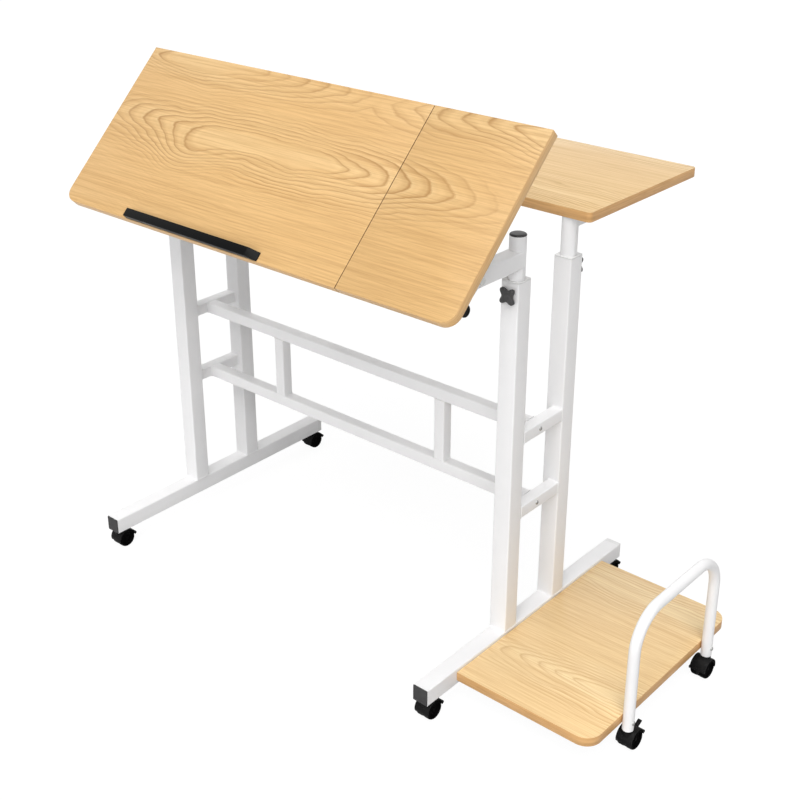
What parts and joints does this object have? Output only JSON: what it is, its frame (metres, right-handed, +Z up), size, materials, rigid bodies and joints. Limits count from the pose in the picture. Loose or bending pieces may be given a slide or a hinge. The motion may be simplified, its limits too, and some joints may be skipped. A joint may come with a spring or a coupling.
{
  "type": "mobile laptop table",
  "caption": "Height-adjustable table on casters with a tilting front top, a level rear top and a low side shelf with a guard hoop.",
  "frame": {"origin": "on the floor under the middle of the table's bounding box", "axes": "+X towards the side shelf, +Y from the user's side to the back, +Z up"},
  "size_m": [1.0318, 0.6178, 0.8594],
  "materials": {
    "black_plastic": "moulded, satin",
    "black_wheel_plastic": "moulded, dull",
    "dark_grey_plastic": "moulded, satin",
    "white_painted_steel": "white powder coat, satin",
    "white_plastic": "moulded, fine satin",
    "wood_grain_laminate": "printed oak grain, satin",
    "zinc_plated_steel": "zinc plated"
  },
  "bodies": {
    "frame": {"guard_hoop": "white_painted_steel", "left_foot": "white_painted_steel", "left_foot_front_cap": "dark_grey_plastic", "left_foot_rear_cap": "white_plastic", "left_front_guide_bush": "white_plastic", "left_front_upright": "white_painted_steel", "left_lower_connector": "white_painted_steel", "left_rear_guide_bush": "white_plastic", "left_rear_upright": "white_painted_steel", "left_strut": "white_painted_steel", "left_upper_connector": "white_painted_steel", "lower_crossbar": "white_painted_steel", "right_foot": "white_painted_steel", "right_foot_front_cap": "dark_grey_plastic", "right_foot_rear_cap": "white_plastic", "right_front_guide_bush": "white_plastic", "right_front_upright": "white_painted_steel", "right_lower_connector": "white_painted_steel", "right_rear_guide_bush": "white_plastic", "right_rear_upright": "white_painted_steel", "right_strut": "white_painted_steel", "right_upper_connector": "white_painted_steel", "side_shelf": "wood_grain_laminate", "upper_crossbar": "white_painted_steel"},
    "front_lift": {"left_front_post": "white_painted_steel", "left_post_cap": "dark_grey_plastic", "right_front_post": "white_painted_steel", "right_post_cap": "dark_grey_plastic"},
    "tilt_top": {"book_ledge": "black_plastic", "joining_plate": "zinc_plated_steel", "left_pivot_pin": "zinc_plated_steel", "left_tilt_bracket": "white_painted_steel", "main_tilt_board": "wood_grain_laminate", "right_pivot_pin": "zinc_plated_steel", "right_tilt_bracket": "white_painted_steel", "side_tilt_board": "wood_grain_laminate"},
    "rear_lift": {"left_rear_post": "white_painted_steel", "rear_top": "wood_grain_laminate", "right_rear_post": "white_painted_steel"},
    "hoop_front_caster_brake_pedal": {"hoop_front_caster_brake_pedal": "black_plastic"},
    "hoop_front_caster": {"hoop_front_caster_hood": "black_plastic"},
    "hoop_front_caster_wheels": {"hoop_front_caster_wheels": "black_wheel_plastic"},
    "hoop_rear_caster": {"hoop_rear_caster_hood": "black_plastic"},
    "hoop_rear_caster_wheels": {"hoop_rear_caster_wheels": "black_wheel_plastic"},
    "left_front_caster": {"left_front_caster_hood": "black_plastic"},
    "left_front_caster_wheels": {"left_front_caster_wheels": "black_wheel_plastic"},
    "left_front_leg_knob": {"left_front_leg_knob": "black_plastic"},
    "left_rear_caster": {"left_rear_caster_hood": "black_plastic"},
    "left_rear_caster_wheels": {"left_rear_caster_wheels": "black_wheel_plastic"},
    "left_rear_leg_knob": {"left_rear_leg_knob": "black_plastic"},
    "left_tilt_knob": {"left_tilt_knob": "black_plastic"},
    "right_front_caster": {"right_front_caster_hood": "black_plastic"},
    "right_front_caster_wheels": {"right_front_caster_wheels": "black_wheel_plastic"},
    "right_front_leg_knob": {"right_front_leg_knob": "black_plastic"},
    "right_rear_caster": {"right_rear_caster_hood": "black_plastic"},
    "right_rear_caster_wheels": {"right_rear_caster_wheels": "black_wheel_plastic"},
    "right_rear_leg_knob": {"right_rear_leg_knob": "black_plastic"},
    "right_tilt_knob": {"right_tilt_knob": "black_plastic"}
  },
  "joints": [
    {"name": "front_height", "type": "slide", "parent": "frame", "child": "front_lift", "axis": [0, 0, 1], "range_m": [-0.015, 0.28]},
    {"name": "rear_height", "type": "slide", "parent": "frame", "child": "rear_lift", "axis": [0, 0, 1], "range_m": [-0.04, 0.28]},
    {"name": "tilt", "type": "hinge", "parent": "front_lift", "child": "tilt_top", "pos_m": [-0.11585, -0.20287, 0.6744], "axis": [1, 0, 0], "range_deg": [-45, 15]},
    {"name": "left_front_leg_knob_turn", "type": "hinge", "parent": "frame", "child": "left_front_leg_knob", "pos_m": [-0.47385, -0.11747, 0.6239], "axis": [0, -1, 0], "range_deg": [0, 540]},
    {"name": "left_rear_leg_knob_turn", "type": "hinge", "parent": "frame", "child": "left_rear_leg_knob", "pos_m": [-0.47385, 0.03983, 0.6239], "axis": [0, 1, 0], "range_deg": [0, 540]},
    {"name": "right_front_leg_knob_turn", "type": "hinge", "parent": "frame", "child": "right_front_leg_knob", "pos_m": [0.24215, -0.11747, 0.6239], "axis": [0, -1, 0], "range_deg": [0, 540]},
    {"name": "right_rear_leg_knob_turn", "type": "hinge", "parent": "frame", "child": "right_rear_leg_knob", "pos_m": [0.24215, 0.03983, 0.6239], "axis": [0, 1, 0], "range_deg": [0, 540]},
    {"name": "left_tilt_knob_turn", "type": "hinge", "parent": "tilt_top", "child": "left_tilt_knob", "pos_m": [-0.48965, -0.24734, 0.6476], "axis": [-1, 0, 0], "range_deg": [0, 540]},
    {"name": "right_tilt_knob_turn", "type": "hinge", "parent": "tilt_top", "child": "right_tilt_knob", "pos_m": [0.25795, -0.24734, 0.6476], "axis": [1, 0, 0], "range_deg": [0, 540]},
    {"name": "left_front_caster_swivel", "type": "hinge", "parent": "frame", "child": "left_front_caster", "pos_m": [-0.47385, -0.29147, 0.0345], "axis": [0, 0, 1], "continuous": true},
    {"name": "left_front_caster_roll", "type": "hinge", "parent": "left_front_caster", "child": "left_front_caster_wheels", "pos_m": [-0.47385, -0.28377, 0.0158], "axis": [1, 0, 0], "continuous": true},
    {"name": "left_rear_caster_swivel", "type": "hinge", "parent": "frame", "child": "left_rear_caster", "pos_m": [-0.47385, 0.19703, 0.0345], "axis": [0, 0, 1], "continuous": true},
    {"name": "left_rear_caster_roll", "type": "hinge", "parent": "left_rear_caster", "child": "left_rear_caster_wheels", "pos_m": [-0.47385, 0.20473, 0.0158], "axis": [1, 0, 0], "continuous": true},
    {"name": "right_front_caster_swivel", "type": "hinge", "parent": "frame", "child": "right_front_caster", "pos_m": [0.24215, -0.29147, 0.0345], "axis": [0, 0, 1], "continuous": true},
    {"name": "right_front_caster_roll", "type": "hinge", "parent": "right_front_caster", "child": "right_front_caster_wheels", "pos_m": [0.24215, -0.28377, 0.0158], "axis": [1, 0, 0], "continuous": true},
    {"name": "right_rear_caster_swivel", "type": "hinge", "parent": "frame", "child": "right_rear_caster", "pos_m": [0.24215, 0.19703, 0.0345], "axis": [0, 0, 1], "continuous": true},
    {"name": "right_rear_caster_roll", "type": "hinge", "parent": "right_rear_caster", "child": "right_rear_caster_wheels", "pos_m": [0.24215, 0.20473, 0.0158], "axis": [1, 0, 0], "continuous": true},
    {"name": "hoop_front_caster_swivel", "type": "hinge", "parent": "frame", "child": "hoop_front_caster", "pos_m": [0.50265, -0.15202, 0.0345], "axis": [0, 0, 1], "continuous": true},
    {"name": "hoop_front_caster_roll", "type": "hinge", "parent": "hoop_front_caster", "child": "hoop_front_caster_wheels", "pos_m": [0.50265, -0.14432, 0.0158], "axis": [1, 0, 0], "continuous": true},
    {"name": "hoop_front_caster_brake_pedal_press", "type": "hinge", "parent": "hoop_front_caster", "child": "hoop_front_caster_brake_pedal", "pos_m": [0.50265, -0.12697, 0.02426], "axis": [-1, 0, 0], "range_deg": [0, 22]},
    {"name": "hoop_rear_caster_swivel", "type": "hinge", "parent": "frame", "child": "hoop_rear_caster", "pos_m": [0.50265, 0.07438, 0.0345], "axis": [0, 0, 1], "continuous": true},
    {"name": "hoop_rear_caster_roll", "type": "hinge", "parent": "hoop_rear_caster", "child": "hoop_rear_caster_wheels", "pos_m": [0.50265, 0.06668, 0.0158], "axis": [1, 0, 0], "continuous": true}
  ]
}
